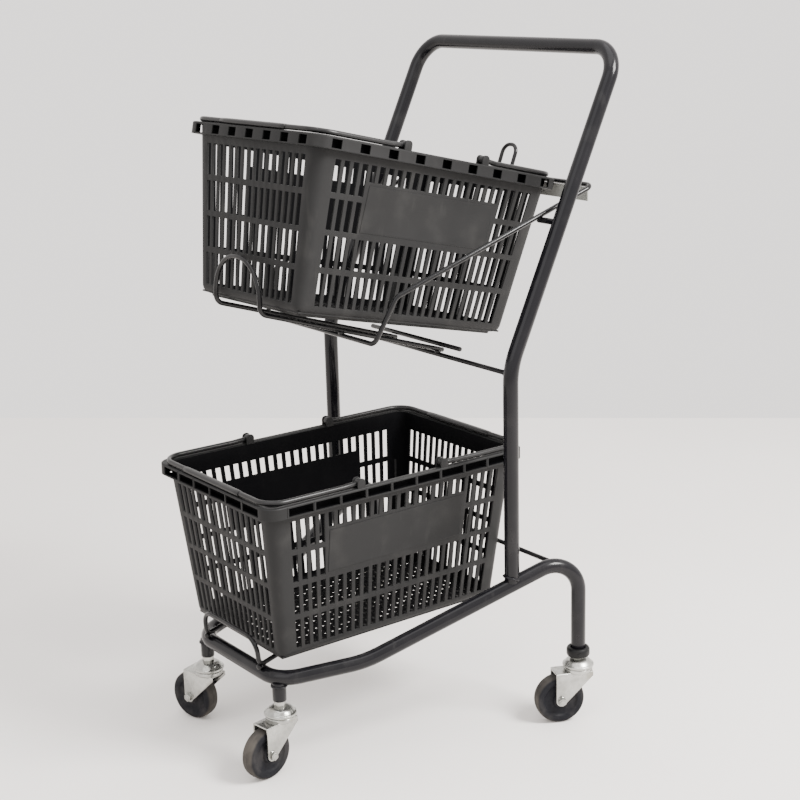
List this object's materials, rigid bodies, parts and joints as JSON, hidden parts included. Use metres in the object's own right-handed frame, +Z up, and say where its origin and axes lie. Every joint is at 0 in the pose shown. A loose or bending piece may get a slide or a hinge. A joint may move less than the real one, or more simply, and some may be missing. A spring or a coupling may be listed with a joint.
{
  "type": "rolling basket trolley",
  "caption": "Bent-tube shopping trolley on swivel casters that carries a lower and a tilted upper hand basket, each with swinging bail handles.",
  "frame": {"origin": "middle of the footprint, on the floor", "axes": "+X the way the trolley travels, +Y its left side, +Z up"},
  "size_m": [0.6178, 0.5584, 0.9998],
  "materials": {
    "frame_paint": "gloss charcoal powder paint",
    "wire_paint": "satin charcoal paint",
    "basket_plastic": "satin moulded charcoal",
    "bail_plastic": "satin moulded charcoal",
    "tyre": "worn dark rubber",
    "zinc_steel": "zinc plated",
    "collar_plastic": "black moulded",
    "strip_plastic": "grey satin"
  },
  "bodies": {
    "frame": {"base_tube": "frame_paint", "handle_tube": "frame_paint", "front_left_stub": "frame_paint", "front_right_stub": "frame_paint", "front_left_caster_stem": "zinc_steel", "front_right_caster_stem": "zinc_steel", "rear_left_caster_stem": "zinc_steel", "rear_right_caster_stem": "zinc_steel", "rear_left_leg_collar": "collar_plastic", "rear_right_leg_collar": "collar_plastic", "upper_carrier_runners": "wire_paint", "upper_carrier_side_wire": "wire_paint", "upper_carrier_cross_wire": "wire_paint", "upper_carrier_rest_wire": "wire_paint", "upper_carrier_rear_loop": "wire_paint", "upper_carrier_strip": "strip_plastic", "left_upright_peg": "frame_paint", "right_upright_peg": "frame_paint", "lower_carrier_runners": "wire_paint", "lower_carrier_rear_wire": "wire_paint"},
    "front_left_caster": {"front_left_caster_fork": "zinc_steel", "front_left_caster_axle": "zinc_steel"},
    "front_left_wheel": {"front_left_caster_wheel": "tyre"},
    "front_right_caster": {"front_right_caster_fork": "zinc_steel", "front_right_caster_axle": "zinc_steel"},
    "front_right_wheel": {"front_right_caster_wheel": "tyre"},
    "rear_left_caster": {"rear_left_caster_fork": "zinc_steel", "rear_left_caster_axle": "zinc_steel"},
    "rear_left_wheel": {"rear_left_caster_wheel": "tyre"},
    "rear_right_caster": {"rear_right_caster_fork": "zinc_steel", "rear_right_caster_axle": "zinc_steel"},
    "rear_right_wheel": {"rear_right_caster_wheel": "tyre"},
    "lower_basket": {"lower_basket_tub": "basket_plastic", "lower_basket_front_left_pin": "bail_plastic", "lower_basket_front_right_pin": "bail_plastic", "lower_basket_rear_left_pin": "bail_plastic", "lower_basket_rear_right_pin": "bail_plastic"},
    "lower_front_bail": {"lower_basket_front_bail": "bail_plastic"},
    "lower_rear_bail": {"lower_basket_rear_bail": "bail_plastic"},
    "upper_basket": {"upper_basket_tub": "basket_plastic", "upper_basket_front_left_pin": "bail_plastic", "upper_basket_front_right_pin": "bail_plastic", "upper_basket_rear_left_pin": "bail_plastic", "upper_basket_rear_right_pin": "bail_plastic"},
    "upper_front_bail": {"upper_basket_front_bail": "bail_plastic"},
    "upper_rear_bail": {"upper_basket_rear_bail": "bail_plastic"}
  },
  "joints": [
    {"name": "front_left_swivel", "type": "hinge", "parent": "frame", "child": "front_left_caster", "pos_m": [0.24186, 0.099, 0.083], "axis": [0, 0, 1], "continuous": true},
    {"name": "front_left_roll", "type": "hinge", "parent": "front_left_caster", "child": "front_left_wheel", "pos_m": [0.27156, 0.10318, 0.0375], "axis": [-0.1392, 0.9903, 0], "continuous": true},
    {"name": "front_right_swivel", "type": "hinge", "parent": "frame", "child": "front_right_caster", "pos_m": [0.24186, -0.099, 0.083], "axis": [0, 0, 1], "continuous": true},
    {"name": "front_right_roll", "type": "hinge", "parent": "front_right_caster", "child": "front_right_wheel", "pos_m": [0.25113, -0.12753, 0.0375], "axis": [0.9511, 0.309, 0], "continuous": true},
    {"name": "rear_left_swivel", "type": "hinge", "parent": "frame", "child": "rear_left_caster", "pos_m": [-0.19014, 0.25576, 0.083], "axis": [0, 0, 1], "continuous": true},
    {"name": "rear_left_roll", "type": "hinge", "parent": "rear_left_caster", "child": "rear_left_wheel", "pos_m": [-0.16295, 0.24309, 0.0375], "axis": [0.4226, 0.9063, 0], "continuous": true},
    {"name": "rear_right_swivel", "type": "hinge", "parent": "frame", "child": "rear_right_caster", "pos_m": [-0.19014, -0.25576, 0.083], "axis": [0, 0, 1], "continuous": true},
    {"name": "rear_right_roll", "type": "hinge", "parent": "rear_right_caster", "child": "rear_right_wheel", "pos_m": [-0.16295, -0.24309, 0.0375], "axis": [-0.4226, 0.9063, 0], "continuous": true},
    {"name": "lower_basket_lift", "type": "slide", "parent": "frame", "child": "lower_basket", "axis": [0, 0, 1], "range_m": [0, 0.04]},
    {"name": "lower_front_bail_swing", "type": "hinge", "parent": "lower_basket", "child": "lower_front_bail", "pos_m": [0.12329, 0, 0.41796], "axis": [0, -1, 0], "range_deg": [0, 116]},
    {"name": "lower_rear_bail_swing", "type": "hinge", "parent": "lower_basket", "child": "lower_rear_bail", "pos_m": [-0.0247, 0, 0.41641], "axis": [0, 1, 0], "range_deg": [0, 45]},
    {"name": "upper_basket_lift", "type": "slide", "parent": "frame", "child": "upper_basket", "axis": [0, 0, 1], "range_m": [0, 0.25]},
    {"name": "upper_front_bail_swing", "type": "hinge", "parent": "upper_basket", "child": "upper_front_bail", "pos_m": [0.03313, -0.00307, 0.87489], "axis": [0.061, -0.9981, 0], "range_deg": [0, 116]},
    {"name": "upper_rear_bail_swing", "type": "hinge", "parent": "upper_basket", "child": "upper_rear_bail", "pos_m": [-0.11057, -0.01186, 0.84059], "axis": [-0.061, 0.9981, 0], "range_deg": [0, 116]}
  ]
}
